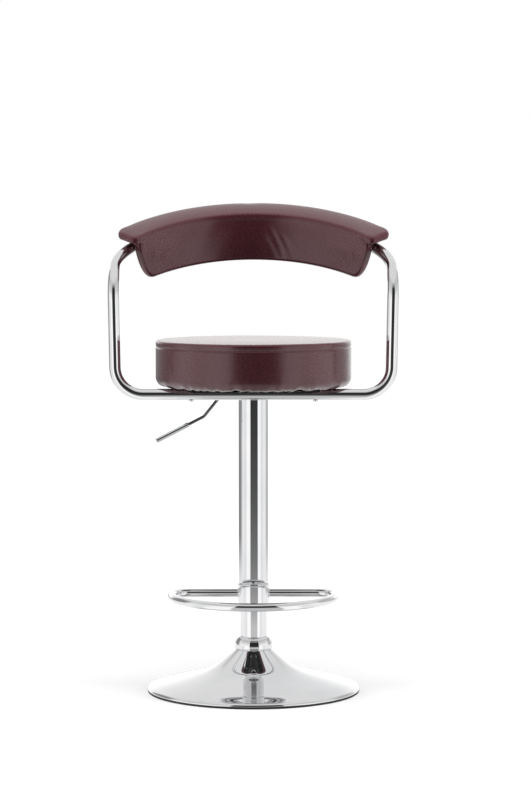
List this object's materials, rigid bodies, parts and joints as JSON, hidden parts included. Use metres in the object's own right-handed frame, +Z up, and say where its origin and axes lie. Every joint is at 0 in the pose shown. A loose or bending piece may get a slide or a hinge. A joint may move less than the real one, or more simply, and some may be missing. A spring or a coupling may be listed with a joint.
{
  "type": "gas lift bar stool",
  "caption": "Swivelling, height-adjustable bar stool with a round padded seat, a bent tube arm frame, a padded band for the back, a foot ring and a trumpet-shaped disc base.",
  "frame": {"origin": "the point of the column's axis at floor level", "axes": "+Z up along the column, the front of the seat faces -Y, and +X is the right-hand side in a front view"},
  "size_m": [0.553, 0.4114, 0.9416],
  "materials": {
    "chrome": "polished",
    "bare_steel": "satin",
    "zinc_steel": "satin",
    "black_paint": "satin",
    "black_rubber": "matte",
    "white_nylon": "satin",
    "plywood": "matte",
    "maroon_leather": "satin"
  },
  "bodies": {
    "base": {"base_cover": "chrome", "base_edge_ring": "black_rubber", "base_bottom_plate": "black_paint", "base_weight": "bare_steel", "base_screw_1": "zinc_steel", "base_screw_2": "zinc_steel", "base_screw_3": "zinc_steel", "base_screw_4": "zinc_steel", "base_hub": "bare_steel", "neck_ring": "chrome", "column_tube": "chrome", "column_end_plate": "bare_steel", "thrust_bearing": "bare_steel", "guide_bush": "white_nylon", "foot_ring_collar": "chrome", "collar_grub_screw_1": "bare_steel", "collar_grub_screw_2": "bare_steel", "foot_ring": "chrome"},
    "swivel_rod": {"piston_rod": "chrome", "piston": "white_nylon", "rod_clip": "bare_steel"},
    "seat": {"gas_cylinder": "black_paint", "cylinder_seal": "black_rubber", "cylinder_socket": "bare_steel", "cover_tube": "chrome", "cover_insert": "white_nylon", "cover_lower_bush": "white_nylon", "lever_housing": "black_paint", "lever_pin": "zinc_steel", "mechanism_plate": "black_paint", "mechanism_bolt_1": "zinc_steel", "mechanism_bolt_2": "zinc_steel", "mechanism_bolt_3": "zinc_steel", "mechanism_bolt_4": "zinc_steel", "seat_board": "plywood", "seat_tee_nut_1": "zinc_steel", "seat_tee_nut_2": "zinc_steel", "seat_tee_nut_3": "zinc_steel", "seat_tee_nut_4": "zinc_steel", "seat_tee_nut_5": "zinc_steel", "seat_tee_nut_6": "zinc_steel", "seat_cushion": "maroon_leather", "arm_frame": "chrome", "frame_bolt_1": "chrome", "frame_bolt_2": "chrome", "backrest_pad": "maroon_leather", "backrest_core": "plywood", "backrest_screw_1": "zinc_steel", "backrest_screw_2": "zinc_steel", "backrest_screw_3": "zinc_steel", "backrest_screw_4": "zinc_steel"},
    "lever": {"lever_rod": "chrome", "lever_grip": "chrome"},
    "valve": {"valve_button": "zinc_steel"}
  },
  "joints": [
    {"name": "swivel", "type": "hinge", "parent": "base", "child": "swivel_rod", "pos_m": [0, 0, 0.018], "axis": [0, 0, 1], "continuous": true},
    {"name": "lift", "type": "slide", "parent": "swivel_rod", "child": "seat", "axis": [0, 0, 1], "range_m": [0, 0.2]},
    {"name": "lever_pivot", "type": "hinge", "parent": "seat", "child": "lever", "pos_m": [-0.03, 0, 0.5794], "axis": [0, 1, 0], "range_deg": [0, 8], "stiffness_Nm_per_rad": 4, "springref_deg": -5.73},
    {"name": "valve_press", "type": "slide", "parent": "seat", "child": "valve", "axis": [0, 0, -1], "range_m": [0, 0.0047]}
  ],
  "couplings": [
    {"joint": "valve_press", "follows": "lever_pivot", "m_per_rad": 0.0335}
  ]
}
